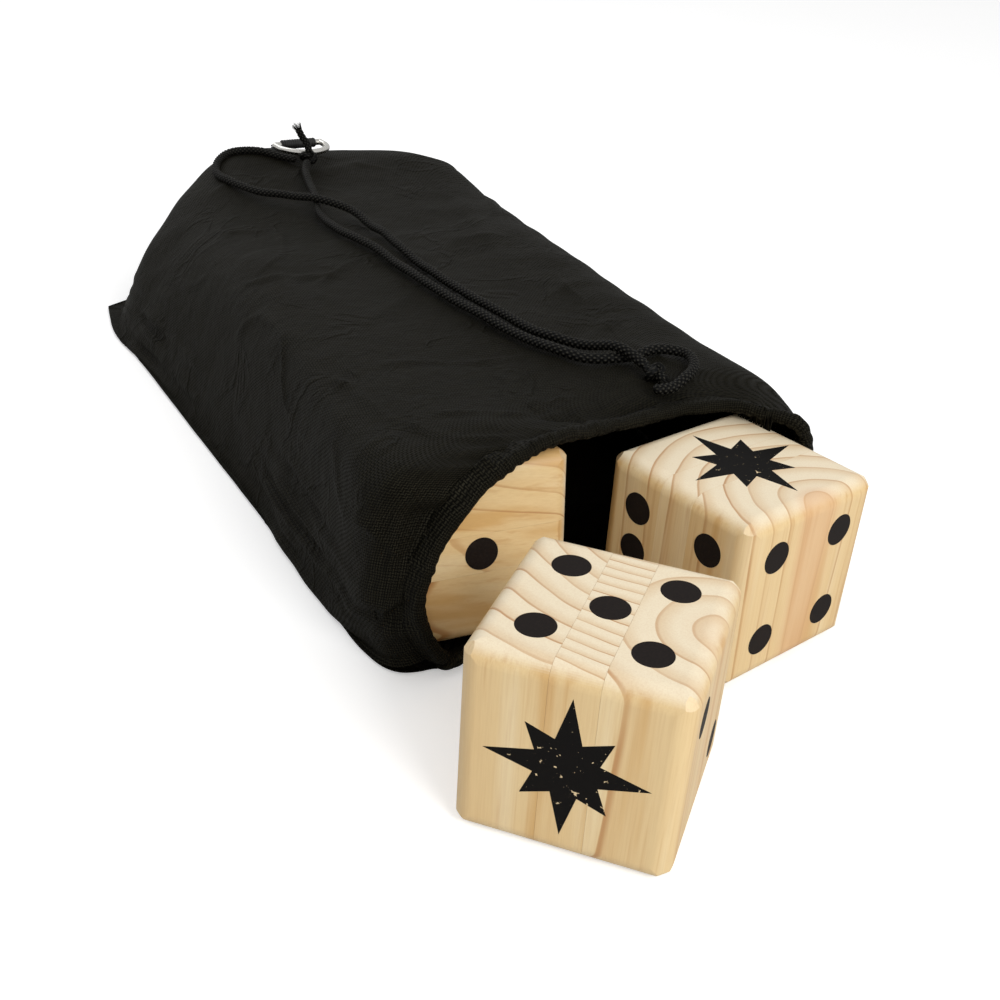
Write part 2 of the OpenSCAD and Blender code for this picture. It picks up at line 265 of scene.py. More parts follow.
def dress_dice():
    hidden_pith = ((-38, 12), (20, 150), (48, -10))
    for k, name in enumerate(DICE):
        for j, piece in enumerate(WOOD_PIECES):
            node = f"{name}_die_{piece}"
            pith, spacing = BOARDS.get(node, (hidden_pith[j], 9.0 + j))
            heart = 0.55 if node == "right_die_inner_board" else 0.15
            slant = -9.0 if name == "left" else 0.0
            set_material(frame["nodes"][node], pine(node, name, pith, spacing, 1.0 + k * 0.7 + j * 0.31,
                                                    heart, slant))
        set_material(frame["nodes"][f"{name}_die_pips"], pip_paint())
        set_material(frame["nodes"][f"{name}_die_stamp"], stamp_ink())


def set_material(obj, material):
    obj.data.materials.clear()
    obj.data.materials.append(material)


def once(maker):
    """Makes a material on the first call and gives the same one after that."""
    made = []

    def get():
        if not made:
            made.append(maker())
        return made[0]
    return get


@once
def pip_paint():
    n = Nodes("pip_paint")
    speck = n.noise(n.object_coords(), 900, 3.0, 0.6)
    color = n.mix(n.ramp(speck, 0.35, 0.75), rgb(24, 18, 16), rgb(36, 29, 26))
    return n.finish(Base_Color=color, Roughness=n.ramp(speck, 0.2, 0.8, 0.5, 0.65),
                    Specular_IOR_Level=0.12, Normal=n.bump(speck, 0.00008, 0.4))


@once
def stamp_ink():
    n = Nodes("stamp_ink")
    at = n.object_coords()
    chips = n.noise(at, 240, 4.0, 0.62, 0.6)
    pores = n.noise(at, 1100, 2.0, 0.6)
    worn = n.math("MAXIMUM", n.ramp(chips, 0.655, 0.675), n.ramp(pores, 0.735, 0.755))
    color = n.mix(worn, rgb(14, 12, 11), rgb(232, 208, 164))
    return n.finish(Base_Color=color, Roughness=0.6, Specular_IOR_Level=n.ramp(worn, 0, 1, 0.1, 0.4),
                    Normal=n.bump(pores, 0.00006, 0.3))


# ---------------------------------------------------------------- cloth materials

@once
def bag_cloth():
    """Plain-woven black nylon; the weave is laid out in the cloth's own UV map, in metres."""
    n = Nodes("bag_cloth")
    uv = n.add("UVMap").outputs[0]
    parts = n.add("SeparateXYZ")
    n.join(uv, parts.inputs[0])
    thread = 0.0014
    u = n.math("DIVIDE", parts.outputs[0], thread)
    v = n.math("DIVIDE", parts.outputs[1], thread)
    warp = n.math("ABSOLUTE", n.math("SINE", n.math("MULTIPLY", u, math.pi)))
    weft = n.math("ABSOLUTE", n.math("SINE", n.math("MULTIPLY", v, math.pi)))
    parity = n.math("PINGPONG", n.math("ADD", n.math("FLOOR", u), n.math("FLOOR", v)), 1.0)
    weave = n.math("ADD", n.math("MULTIPLY", parity, warp),
                   n.math("MULTIPLY", n.math("SUBTRACT", 1.0, parity), weft))
    at = n.object_coords()
    slub = n.noise(n.place(uv, scale=(1, 14, 1)), 60, 3.0, 0.6)
    cloud = n.noise(at, 22, 4.0, 0.55)
    color = n.mix(cloud, rgb(2, 2, 2), rgb(9, 8, 6))
    # Painted light and shade: the raised crown of each thread is painted lighter, and the hollows between
    # threads stay dark.
    crown_shading = n.math("MULTIPLY", n.ramp(weave, 0.6, 1.0), n.ramp(slub, 0.25, 0.75, 0.3, 1.0))
    color = n.mix(crown_shading, color, rgb(46, 44, 35))
    lint = n.noise(at, 1400, 1.0, 0.5)
    color = n.mix(n.ramp(lint, 0.80, 0.83, 0.0, 0.5), color, rgb(120, 116, 104))
    weave_bump = n.bump(weave, 0.00035, 0.9)
    fold = n.math("ABSOLUTE", n.math("SUBTRACT", n.noise(at, 24, 3.0, 0.5, 0.7), 0.5))
    sharp = n.math("MULTIPLY", n.ramp(fold, 0.0, 0.05, 1.0, 0.0), n.ramp(n.noise(at, 17), 0.45, 0.6))
    crumple = n.math("MULTIPLY_ADD", sharp, 0.4, n.noise(at, 62, 6.0, 0.62))
    rough = n.ramp(slub, 0.3, 0.7, 0.5, 0.62, "LINEAR")
    return n.finish(Base_Color=color, Roughness=rough, Normal=n.bump(crumple, 0.0035, 0.8, weave_bump),
                    Specular_IOR_Level=0.05, Specular_Tint=rgb(255, 248, 228), Sheen_Weight=0.006,
                    Sheen_Roughness=0.5, Sheen_Tint=rgb(170, 168, 150))


@once
def braid_fibre():
    """Black polyester, with painted light and shade: a point attribute is 1 on top of a strand and 0
    between strands, and the strand tops are painted lighter than the hollows between them.
    """
    n = Nodes("braid_fibre")
    at = n.object_coords()
    fuzz = n.noise(at, 2600, 3.0, 0.6)
    crown_shading = n.add("Attribute", attribute_name="crown_shading").outputs["Fac"]
    color = n.mix(fuzz, rgb(1, 1, 1), rgb(7, 7, 6))
    # Painted highlight on the top of each strand and painted shade in the hollows between strands.
    color = n.mix(n.ramp(crown_shading, 0.6, 1.0, 0.0, 0.9), color, rgb(62, 60, 53))
    return n.finish(Base_Color=color, Roughness=0.5, Normal=n.bump(fuzz, 0.00015, 0.6),
                    Specular_IOR_Level=0.1)


@once
def webbing_cloth():
    n = Nodes("webbing_cloth")
    at = n.object_coords()
    rib = n.math("SINE", n.math("MULTIPLY", n.vector("DOT_PRODUCT", at, (1, 0.1, 0)), 3600))
    # Painted light and shade: the rib crests are painted lighter and the grooves between them darker, in
    # step with the rib bump.
    color = n.mix(n.ramp(rib, -1, 1), rgb(14, 14, 14), rgb(38, 37, 35))
    return n.finish(Base_Color=color, Roughness=0.6, Normal=n.bump(rib, 0.0002, 0.7))


@once
def ring_metal():
    n = Nodes("ring_metal")
    at = n.object_coords()
    scuff = n.noise(n.place(at, scale=(1, 1, 4)), 700, 4.0, 0.6)
    color = n.mix(scuff, rgb(214, 212, 206), rgb(240, 238, 232))
    return n.finish(Base_Color=color, Metallic=1.0, Roughness=n.ramp(scuff, 0.3, 0.8, 0.16, 0.34),
                    Normal=n.bump(scuff, 0.00004, 0.4))


# ---------------------------------------------------------------- curves and surfaces

def through(a, b, c, d, f):
    """Smooth curve between b and c, with a and d as the neighbours."""
    return b + f / 2 * ((c - a) + f * ((2 * a - 5 * b + 4 * c - d) + f * (3 * b - a - 3 * c + d)))


def on_curve(points, t):
    """Points at parameters t (0 to 1) of the open smooth curve through points, along axis 0."""
    points = np.asarray(points, float)
    last = len(points) - 1
    s = np.clip(np.asarray(t, float), 0, 1) * last
    i = np.minimum(s.astype(int), last - 1)
    f = (s - i).reshape((-1,) + (1,) * (points.ndim - 1))
    return through(points[np.maximum(i - 1, 0)], points[i], points[i + 1],
                   points[np.minimum(i + 2, last)], f)


def on_loop(points, t):
    """The same on a closed curve."""
    points = np.asarray(points, float)
    count = len(points)
    s = np.asarray(t, float) * count
    i = np.floor(s).astype(int)
    f = (s - i)[:, None]
    return through(points[(i - 1) % count], points[i % count], points[(i + 1) % count],
                   points[(i + 2) % count], f)


def unit_rows(v):
    return v / np.maximum(np.linalg.norm(v, axis=-1, keepdims=True), 1e-12)


def grid_normals(grid):
    du = np.gradient(grid, axis=1)
    dv = np.gradient(grid, axis=0)
    return unit_rows(np.cross(du, dv))


def make_mesh(name, points, faces, material, uv=None, smooth=True):
    mesh = bpy.data.meshes.new(name)
    mesh.from_pydata([tuple(p) for p in np.asarray(points, float).reshape(-1, 3)], [], faces)
    mesh.validate()
    if uv is not None:
        layer = mesh.uv_layers.new(name="UVMap")
        index = np.zeros(len(mesh.loops), int)
        mesh.loops.foreach_get("vertex_index", index)
        layer.data.foreach_set("uv", np.asarray(uv, float).reshape(-1, 2)[index].ravel())
    mesh.polygons.foreach_set("use_smooth", [smooth] * len(mesh.polygons))
    obj = bpy.data.objects.new(name, mesh)
    bpy.context.scene.collection.objects.link(obj)
    mesh.materials.append(material)
    return obj


def grid_quads(rows, cols, start=0, wrap=False):
    quads = []
    span = cols if wrap else cols - 1
    for r in range(rows - 1):
        for c in range(span):
            a = start + r * cols + c
            b = start + r * cols + (c + 1) % cols
            quads.append((a, b, b + cols, a + cols))
    return quads


def solidify(obj, thickness, offset=0.0):
    mod = obj.modifiers.new("thickness", "SOLIDIFY")
    mod.thickness = thickness
    mod.offset = offset
    mod.use_even_offset = False
    return mod


# ---------------------------------------------------------------- bag

# The bag's cutting pattern as it lies, in mm. Each row runs over the bag from the left ground seam: left
# seam, left side, left shoulder, top, right shoulder, right side, right seam. The rows go from the mouth
# to the base seam.
SEAM_MM = 2.2
PANEL_START = 0.0042
MOUTH_MM = [
    (-121, -78, 9), (-133.5, -77.6, 33), (-131, -75, 54), (-120, -73, 75), (-105, -72, 92),
    (-86, -70, 103), (-62, -65, 106), (-38, -56, 102), (-8, -46, 97), (22, -40, 95.5),
    (47, -44, 95.5), (60.5, -59, 95.7), (71, -75, 93.3), (82, -70, 65), (83, -52, 36),
    (78, -32, 13), (50, -20, 6), (8, -22, 6), (-28, -38, 6), (-50, -70, 6), (-78, -76, 6),
    (-104, -74.5, 6),
]
MOUTH_STARTS = (0, 2, 4, 7.5, 11.3, 14, 15.4)
ROWS_MM = [
    [(-147, -57, SEAM_MM), (-155, -54, 45), (-143, -50, 100.5), (-36, -22, 105), (84, -25, 97.2),
     (90, -30, 50), (94, -8, SEAM_MM)],
    [(-153, 60, SEAM_MM), (-150, 60, 50), (-126, 55, 99), (-22, 60, 101), (82, 45, 97),
     (96, 50, 50), (101, 60, SEAM_MM)],
    [(-161, 200, SEAM_MM), (-149, 200, 50), (-118, 200, 96), (-14, 200, 98), (88, 195, 96),
     (104, 200, 50), (110, 200, SEAM_MM)],
    [(-167, 320, SEAM_MM), (-152, 330, 52), (-104, 335, 92), (-6, 345, 94), (96, 320, 93),
     (112, 325, 50), (118, 325, SEAM_MM)],
    [(-172, 372, SEAM_MM), (-144, 398, 54), (-69, 464, 95), (12, 480, 94), (98, 442, 91),
     (118, 440, 48), (126, 445, SEAM_MM)],
    [(-166, 424, SEAM_MM), (-120, 452, SEAM_MM), (-62, 486, SEAM_MM), (15, 506, SEAM_MM),
     (84, 506, SEAM_MM), (116, 498, SEAM_MM), (128, 486, SEAM_MM)],
]


def mouth(s_mm):
    """Middle line of the hem at places counted in points of MOUTH_MM, in metres."""
    s = np.atleast_1d(np.asarray(s_mm, float))
    return on_loop(np.array(MOUTH_MM) * MM, s / len(MOUTH_MM))


def upper_panel(rows, cols, drawn_on=0.2):
    """Smooth grid of points over the upper panel, from the hem to the base seam.

    Over the first part of its length, drawn_on, it is drawn onto the hem all the way round.
    """
    starts = mouth(MOUTH_STARTS)
    body = np.array(ROWS_MM, float) * MM
    first = starts + unit_rows(body[0] - starts) * PANEL_START
    net = np.concatenate([first[None], body])
    lengths = np.linspace(0, 1, rows)
    columns = on_curve(net, lengths)
    grid = np.stack([on_curve(row, np.linspace(0, 1, cols)) for row in columns])
    middle = mouth(hem_places(cols))
    edge = middle + unit_rows(grid[int(rows * drawn_on)] - middle) * PANEL_START
    fade = np.clip(1 - lengths / drawn_on, 0, 1)[:, None, None]
    return grid + (edge - grid[0])[None] * fade


def hem_places(cols):
    """Where each column of the upper panel meets the hem, counted in points of MOUTH_MM."""
    return on_curve(np.array(MOUTH_STARTS, float), np.linspace(0, 1, cols))


def hem_arcs(places):
    """Arc length along the hem at those places."""
    dense = np.linspace(0, len(MOUTH_MM), 2001)
    steps = np.linalg.norm(np.diff(mouth(dense), axis=0), axis=1)
    return np.interp(places, dense, np.concatenate([[0], np.cumsum(steps)]))


def gather(arc):
    """Uneven small ridges of the gathered hem, from -1 to 1 at places along it."""
    drift = wave_noise(arc, arc * 0, 0.06, 3)
    other = wave_noise(arc, arc * 0, 0.045, 5)
    ridges = 0.55 * np.sin(arc * math.tau / 0.0053 + 2.4 * drift)
    ridges += 0.45 * np.sin(arc * math.tau / 0.0087 + 2.8 * other)
    return ridges * (0.7 + 0.3 * other)


def arc_lengths(grid, axis):
    steps = np.linalg.norm(np.diff(grid, axis=axis), axis=2)
    total = np.cumsum(steps, axis=axis)
    pad = np.zeros_like(total[:1] if axis == 0 else total[:, :1])
    return np.concatenate([pad, total], axis=axis)


def wave_noise(x, y, scale, seed, octaves=3):
    """Smooth noise of two coordinates, made of a few crossing waves."""
    local = np.random.default_rng(seed)
    value = np.zeros(np.broadcast_shapes(np.shape(x), np.shape(y)))
    for k in range(octaves * 3):
        angle = local.uniform(0, math.tau)
        length = scale * local.uniform(0.5, 1.6)
        value += np.sin((x * math.cos(angle) + y * math.sin(angle)) * math.tau / length
                        + local.uniform(0, math.tau)) * length / scale
    return value / (octaves * 3) ** 0.5


def pleats(arc, depth):
    """Height of the gathers that run back from the hem: fine at the hem, wider further in."""
    drift = wave_noise(arc, depth * 0.3, 0.06, 3) * 0.9
    fine = gather(arc) * np.exp(-depth / 0.008) * 0.0009
    middle = np.sin(arc * math.tau / 0.017 + 2.6 * drift) * np.exp(-depth / 0.020) * 0.0011
    broad = np.sin(arc * math.tau / 0.041 + 3.4 * drift) * np.exp(-depth / 0.055) * 0.0015
    return fine + middle + broad


def crease(grid_xy, start, end, width, height):
    """Ridge with a soft foot along the line from start to end, in the ground plane."""
    a, b = np.array(start) * MM, np.array(end) * MM
    d = b - a
    t = np.clip(((grid_xy - a) @ d) / (d @ d), 0, 1)
    foot = a + t[..., None] * d
    away = np.linalg.norm(grid_xy - foot, axis=-1)
    fade = np.sin(np.pi * np.clip(t, 0.0, 1.0)) ** 0.5
    return height * MM * fade * (np.exp(-(away / (width * MM)) ** 2)
                                 - 0.5 * np.exp(-(away / (2.4 * width * MM)) ** 2))


# Soft creases in the cloth over the dice: start, end (mm on the ground plane), width and height (mm)
CREASES = [
    ((-122, 212), (-99, 196), 5, 1.5), ((-99, 196), (-70, 190), 5, 1.2),
    ((-126, 52), (-120, 34), 4, 1.8), ((-121, 36), (-121, -6), 4, 1.1),
    ((-121, -6), (-104, -42), 4, 1.2), ((-105, -42), (-70, -56), 3.5, 1.0),
    ((-101, 55), (-62, 46), 5, 1.0), ((-64, 45), (-26, 37), 5, 0.9),
    ((-100, -13), (-78, -25), 4, 1.1), ((-79, -24), (-48, -35), 4, 1.0),
    ((38, 119), (62, 132), 6, 1.2), ((19, 47), (56, 76), 6, 1.3),
    ((-56, 41), (-20, 42), 4, 0.8), ((-109, 150), (-92, 285), 9, 1.1),
    ((-20, -12), (16, 104), 9, 1.0), ((40, 190), (72, 330), 10, 1.2),
    ((-60, 230), (-30, 300), 9, 0.9), ((-85, 110), (-40, 150), 8, 0.9),
    ((20, 250), (60, 270), 7, 0.8), ((-30, 400), (40, 420), 9, 1.1),
]


def side_folds(across, along):
    """Long folds where slack cloth lies along the ground on the left; they drift and run out."""
    drift = wave_noise(along, across * 0.2, 0.25, 11)
    ripple = np.sin(across * math.tau / 0.017 + 1.6 * drift + along * 7.0)
    ripple += 0.6 * np.sin(across * math.tau / 0.0098 - 2.1 * drift + along * 11.0)
    window = np.exp(-((across - 0.026) / 0.021) ** 2)
    swell = 0.55 + 0.45 * np.sin(along * math.tau / 0.31 + 0.8)
    run_out = np.clip(0.6 + 0.5 * wave_noise(along, across * 2.5, 0.11, 17), 0, 1.2)
    run_out *= np.clip((0.39 - along) / 0.08, 0.2, 1)
    return 0.0028 * ripple * window * swell * run_out


def crisp_folds(x, y):
    """Narrow folds that cross the cloth at random and fade away."""
    line = wave_noise(x, y, 0.085, 41)
    shown = np.clip(0.25 + wave_noise(x, y, 0.12, 43), 0, 1)
    return 0.0012 * np.exp(-((line / 0.2) ** 2)) * shown


def slide_ends(name):
    """How far a die in the bag can be moved by its own joint, as offsets from rest."""
    if name not in DICE_IN_BAG:
        return [Vector()]
    slide = next(j for j in frame["joints"] if j["child"] == f"{name}_die")
    return [Vector(slide["axis"]) * end for end in slide["range_m"]]


def die_blocks():
    """Closed convex blocks for the cloth to rest on: each die, or all the space it slides through."""
    blocks = []
    for name in DICE:
        bm = bmesh.new()
        for offset in slide_ends(name):
            for piece in WOOD_PIECES:
                for v in frame["nodes"][f"{name}_die_{piece}"].data.vertices:
                    bm.verts.new(v.co + offset)
        hull = bmesh.ops.convex_hull(bm, input=bm.verts)
        spare = dict.fromkeys(hull["geom_interior"] + hull["geom_unused"])
        loose = [e for e in spare if isinstance(e, bmesh.types.BMVert)]
        bmesh.ops.delete(bm, geom=loose, context="VERTS")
        mesh = bpy.data.meshes.new(f"{name}_block")
        bm.to_mesh(mesh)
        bm.free()
        block = bpy.data.objects.new(f"{name}_block", mesh)
        bpy.context.scene.collection.objects.link(block)
        blocks.append(block)
    return blocks


def drape(grid, blocks, frames=36):
    """Lets the panel's cloth, cut a little full, settle over the dice with its hem and seams held."""
    rows, cols = grid.shape[:2]
    cloth = make_mesh("drape", grid, grid_quads(rows, cols), bag_cloth())
    held = cloth.vertex_groups.new(name="held")
    index = np.arange(rows * cols).reshape(rows, cols)
    border = set(index[0]) | set(index[-1]) | set(index[:, 0]) | set(index[:, -1])
    held.add([int(i) for i in border], 1.0, "REPLACE")
    mod = cloth.modifiers.new("cloth", "CLOTH")
    rules = mod.settings
    rules.quality = 7
    rules.mass = 0.12
    rules.tension_stiffness = 18
    rules.compression_stiffness = 12
    rules.shear_stiffness = 6
    rules.bending_stiffness = 0.6
    rules.tension_damping = 8
    rules.compression_damping = 8
    rules.air_damping = 2
    rules.vertex_group_mass = "held"
    rules.shrink_min = -0.022
    mod.collision_settings.distance_min = 0.0015
    mod.collision_settings.collision_quality = 3
    for block in blocks:
        block.modifiers.new("hit", "COLLISION")
        block.collision.thickness_outer = 0.0012
        block.collision.cloth_friction = 12
    scene = bpy.context.scene
    scene.frame_end = max(scene.frame_end, frames)
    mod.point_cache.frame_end = frames
    for f in range(1, frames + 1):
        scene.frame_set(f)
    settled = cloth.evaluated_get(bpy.context.evaluated_depsgraph_get())
    points = np.zeros(rows * cols * 3)
    settled.data.vertices.foreach_get("co", points)
    scene.frame_set(1)
    bpy.data.objects.remove(cloth)
    for block in blocks:
        block.modifiers.clear()
    return points.reshape(rows, cols, 3)


def finer(grid, rows, cols):
    down = on_curve(grid, np.linspace(0, 1, rows))
    return on_curve(down.transpose(1, 0, 2), np.linspace(0, 1, cols)).transpose(1, 0, 2)


def tree_of(obj):
    return BVHTree.FromPolygons([v.co.copy() for v in obj.data.vertices],
                                [list(f.vertices) for f in obj.data.polygons])


def keep_clear(points, trees, gap, search=0.012):
    """Moves points that come closer than gap to the blocks, or get inside them, back out."""
    for tree in trees:
        for i, p in enumerate(points):
            near, normal, _, _ = tree.find_nearest(Vector(p), search)
            if near is not None and (Vector(p) - near).dot(normal) < gap:
                points[i] = near + normal * gap
    return points


def smoothed(grid, times):
    """The grid with its inner points evened out; the border stays."""
    grid = grid.copy()
    for _ in range(times):
        around = grid[:-2, 1:-1] + grid[2:, 1:-1] + grid[1:-1, :-2] + grid[1:-1, 2:]
        grid[1:-1, 1:-1] = 0.5 * grid[1:-1, 1:-1] + 0.125 * around
    return grid


# Rows and columns of the upper panel: while it settles, and when it is finished
COARSE = (118, 92)
FINE = (300, 230)
# How far the settled and the finished cloth stay off the dice, and how low the cloth may lie
SETTLED_GAP = 0.0022
FINISHED_GAP = 0.0009
LOWEST = 0.0016


class Bag:
    """The upper panel's settled surface and what is laid on it."""

    def __init__(self):
        blocks = die_blocks()
        trees = [tree_of(block) for block in blocks]
        coarse = upper_panel(*COARSE)
        self.cut = BVHTree.FromPolygons([Vector(p) for p in coarse.reshape(-1, 3)], grid_quads(*COARSE))
        coarse = self.limit(coarse, drape(coarse, blocks))
        coarse = keep_clear(coarse.reshape(-1, 3), trees, SETTLED_GAP).reshape(coarse.shape)
        coarse = smoothed(coarse, 3)
        rows, cols = FINE
        grid = finer(coarse, rows, cols)
        self.uv = np.stack([arc_lengths(grid, 1), arc_lengths(grid, 0)], axis=-1)
        grid = grid + grid_normals(grid) * self.relief(grid)[..., None]
        flat = keep_clear(grid.reshape(-1, 3), trees, FINISHED_GAP)
        flat[:, 2] = np.maximum(flat[:, 2], LOWEST)
        self.grid = flat.reshape(rows, cols, 3)
        self.blocks = trees
        self.top = BVHTree.FromPolygons([Vector(p) for p in flat], grid_quads(rows, cols))
        for block in blocks:
            bpy.data.objects.remove(block)

    @staticmethod
    def limit(start, settled, reach=0.006):
        """Lets the cloth settle by reach at most, and less on the taut right shoulder, ring and cord."""
        cord = np.array(RISING_MM + FALLING_MM)[:, :2] * MM
        ground = start[..., :2]
        to_ring = np.linalg.norm(ground - np.array(RING_AT)[:2], axis=2)
        to_cord = np.min([np.linalg.norm(ground - p, axis=2) for p in cord], axis=0)
        free = 1 - 0.85 * np.exp(-((to_ring / 0.05) ** 2)) - 0.3 * np.exp(-((to_cord / 0.02) ** 2))
        free -= 0.8 * np.clip((ground[..., 0] - 0.02) / 0.05, 0, 1)
        free = np.clip(free, 0.1, 1)[..., None]
        move = settled - start
        size = np.linalg.norm(move, axis=2, keepdims=True)
        return start + move * np.minimum(1, reach * free / np.maximum(size, 1e-9))

    def relief(self, grid):
        """Height of the gathers, folds and creases over the settled cloth."""
        along_hem, depth = self.uv[..., 0], self.uv[..., 1]
        arcs = hem_arcs(hem_places(grid.shape[1]))
        height = pleats(np.broadcast_to(arcs, along_hem.shape), depth)
        height += side_folds(along_hem, grid[..., 1])
        height += 0.0004 * wave_noise(grid[..., 0] + grid[..., 2], grid[..., 1], 0.05, 21, 4)
        height += crisp_folds(grid[..., 0] + grid[..., 2], grid[..., 1])
        height = np.maximum(height, -0.0016)
        ground = grid[..., :2]
        on_top = np.clip((grid[..., 2] - 0.06) / 0.02, 0, 1)
        for start, end, width, rise in CREASES:
            height += crease(ground, start, end, width * 0.8, rise * 1.5) * on_top
        border = np.minimum(depth, np.minimum(along_hem, along_hem[:, -1:] - along_hem))
        border = np.minimum(border, depth[-1:] - depth)
        return height * np.clip(border / 0.004, 0, 1)

    def height(self, x, y, tree=None):
        hit = (tree or self.top).ray_cast(Vector((x, y, 0.3)), Vector((0, 0, -1)))[0]
        return hit.z if hit else None

    def panel(self):
        obj = make_mesh("upper_cloth", self.grid, grid_quads(*self.grid.shape[:2]), bag_cloth(), self.uv)
        solidify(obj, 0.0006, -1.0)
        return obj


def lower_cloth(bag):
    """The panel on the ground: a patch between the hem, the two side seams and the base seam."""
    rows, cols = 110, 60
    t, u = np.linspace(0, 1, rows), np.linspace(0, 1, cols)
    left, right = on_curve(bag.grid[:, 0], t), on_curve(bag.grid[:, -1], t)
    base = on_curve(bag.grid[-1], u)
    last = len(MOUTH_MM)
    front = mouth(last + (MOUTH_STARTS[-1] - last) * u) + (0, 0.004, 0)
    front += (left[0] - front[0]) * (1 - u[:, None]) ** 4 + (right[0] - front[-1]) * u[:, None] ** 4
    a, b = t[:, None, None], u[None, :, None]
    grid = ((1 - a) * front[None] + a * base[None] + (1 - b) * left[:, None] + b * right[:, None]
            - (1 - a) * ((1 - b) * front[0] + b * front[-1]) - a * ((1 - b) * base[0] + b * base[-1]))
    edge = np.minimum(b[..., 0], 1 - b[..., 0]) * 0.24
    edge = np.minimum(edge, (1 - a[..., 0]) * 0.45)
    grid[..., 2] = 0.0006 + 0.0012 * np.exp(-edge / 0.004)
    uv = np.stack([arc_lengths(grid, 1), arc_lengths(grid, 0)], axis=-1)
    obj = make_mesh("lower_cloth", grid, grid_quads(rows, cols), bag_cloth(), uv)
    solidify(obj, 0.0006, 0.0)
    return obj


# ---------------------------------------------------------------- hem

def loop_frame(path, level):
    """Side and up directions of a closed path, square to it."""
    along = unit_rows(np.roll(path, -1, axis=0) - np.roll(path, 1, axis=0))
    side = unit_rows(np.cross(along, np.broadcast_to(level, along.shape)))
    return along, side, np.cross(side, along)


def towards_panel(bag, places, path):
    """From each place on the hem, the direction in which its cloth runs back into the bag."""
    row = bag.grid[int(bag.grid.shape[0] * 0.03)]
    meets = hem_places(bag.grid.shape[1])
    over = np.stack([np.interp(places, meets, row[:, k]) for k in range(3)], axis=1) - path
    ground = np.broadcast_to((0.0, 1.0, -0.12), over.shape)
    on_ground = np.clip((places - MOUTH_STARTS[-1]) / 0.5, 0, 1)
    on_ground = (on_ground * np.clip((len(MOUTH_MM) - places) / 0.5, 0, 1))[:, None]
    return unit_rows(unit_rows(over) * (1 - on_ground) + ground * on_ground)


def hem_roll(bag):
    """The gathered hem: cloth folded round the cord, sewn down behind it and puckered into ridges."""
    rings, around = 960, 28
    places = np.arange(rings) / rings * len(MOUTH_MM)
    path = mouth(places)
    run = unit_rows(np.roll(path, -1, axis=0) - np.roll(path, 1, axis=0))
    inward = towards_panel(bag, places, path)
    inward = unit_rows(inward - run * np.sum(inward * run, axis=1, keepdims=True))
    outward = np.cross(run, inward)
    a = (np.arange(around) / around * math.tau)[None]
    arc = hem_arcs(places)[:, None]
    ridge = gather(arc) + 0 * a
    lump = wave_noise(arc, a * 0.004, 0.025, 33)
    back = np.maximum(np.cos(a), 0)
    reach = (0.0033 + 0.0003 * lump) * np.cos(a) + 0.0056 * back ** 3 - 0.0016
    reach += np.where(np.cos(a) < 0, ridge * 0.00042 * np.cos(a), 0)
    rise = (0.0034 + 0.00045 * ridge + 0.0003 * lump) * np.sin(a) * (1 - 0.45 * back ** 2)
    rise += 0.0004 * ridge * back ** 2
    grid = path[:, None] + reach[..., None] * inward[:, None] + rise[..., None] * outward[:, None]
    flat = keep_clear(grid.reshape(-1, 3), bag.blocks, 0.0005)
    flat[:, 2] = np.maximum(flat[:, 2], 0.0004)
    faces = grid_quads(rings, around, wrap=True)
    last = (rings - 1) * around
    faces += [(last + k, last + (k + 1) % around, (k + 1) % around, k) for k in range(around)]
    uv = np.stack([arc + 0 * a, reach + rise], axis=-1)
    return make_mesh("hem_cloth", flat, faces, bag_cloth(), uv)


def stitch(start, end, normal, width=0.0007):
    """One stitch: a thread that dips into the cloth at both ends, as an 8 by 6 tube."""
    rings = []
    run = unit_rows(end - start)
    side = np.cross(run, normal)
    for f in np.linspace(0, 1, 8):
        middle = start + (end - start) * f + normal * (width * 0.9 * math.sin(math.pi * f) - width * 0.5)
        rings.append([middle + width / 2 * (math.cos(a) * side + math.sin(a) * normal)
                      for a in np.arange(6) * math.tau / 6])
    return np.array(rings)


def along_line(s, place, line):
    """The point at length s of a line whose points are at the lengths in place."""
    return np.array([np.interp(s, place, line[:, k]) for k in range(3)])


def stitches(name, lines, normals, pitch=0.0042, fill=0.7):
    """A row of stitches along each line of points that lie on cloth."""
    points, faces = [], []
    for line, line_normals in zip(lines, normals):
        steps = np.linalg.norm(np.diff(line, axis=0), axis=1)
        place = np.concatenate([[0], np.cumsum(steps)])
        for s in np.arange(pitch, place[-1] - pitch, pitch):
            ends = [along_line(v, place, line) for v in (s, s + pitch * fill)]
            normal = unit_rows(along_line(s, place, line_normals))
            ring = stitch(ends[0], ends[1], normal)
            start = len(points)
            points += list(ring.reshape(-1, 3))
            faces += grid_quads(8, 6, start, wrap=True)
            faces += [tuple(start + k for k in range(5, -1, -1)), tuple(start + 42 + k for k in range(6))]
    return make_mesh(name, points, faces, braid_fibre())


def hem_stitches(bag):
    row = 3
    normals = grid_normals(bag.grid)[row]
    inner = slice(4, -4)
    return stitches("hem_stitches", [(bag.grid[row] + normals * 0.0002)[inner]], [normals[inner]])


# ---------------------------------------------------------------- cords

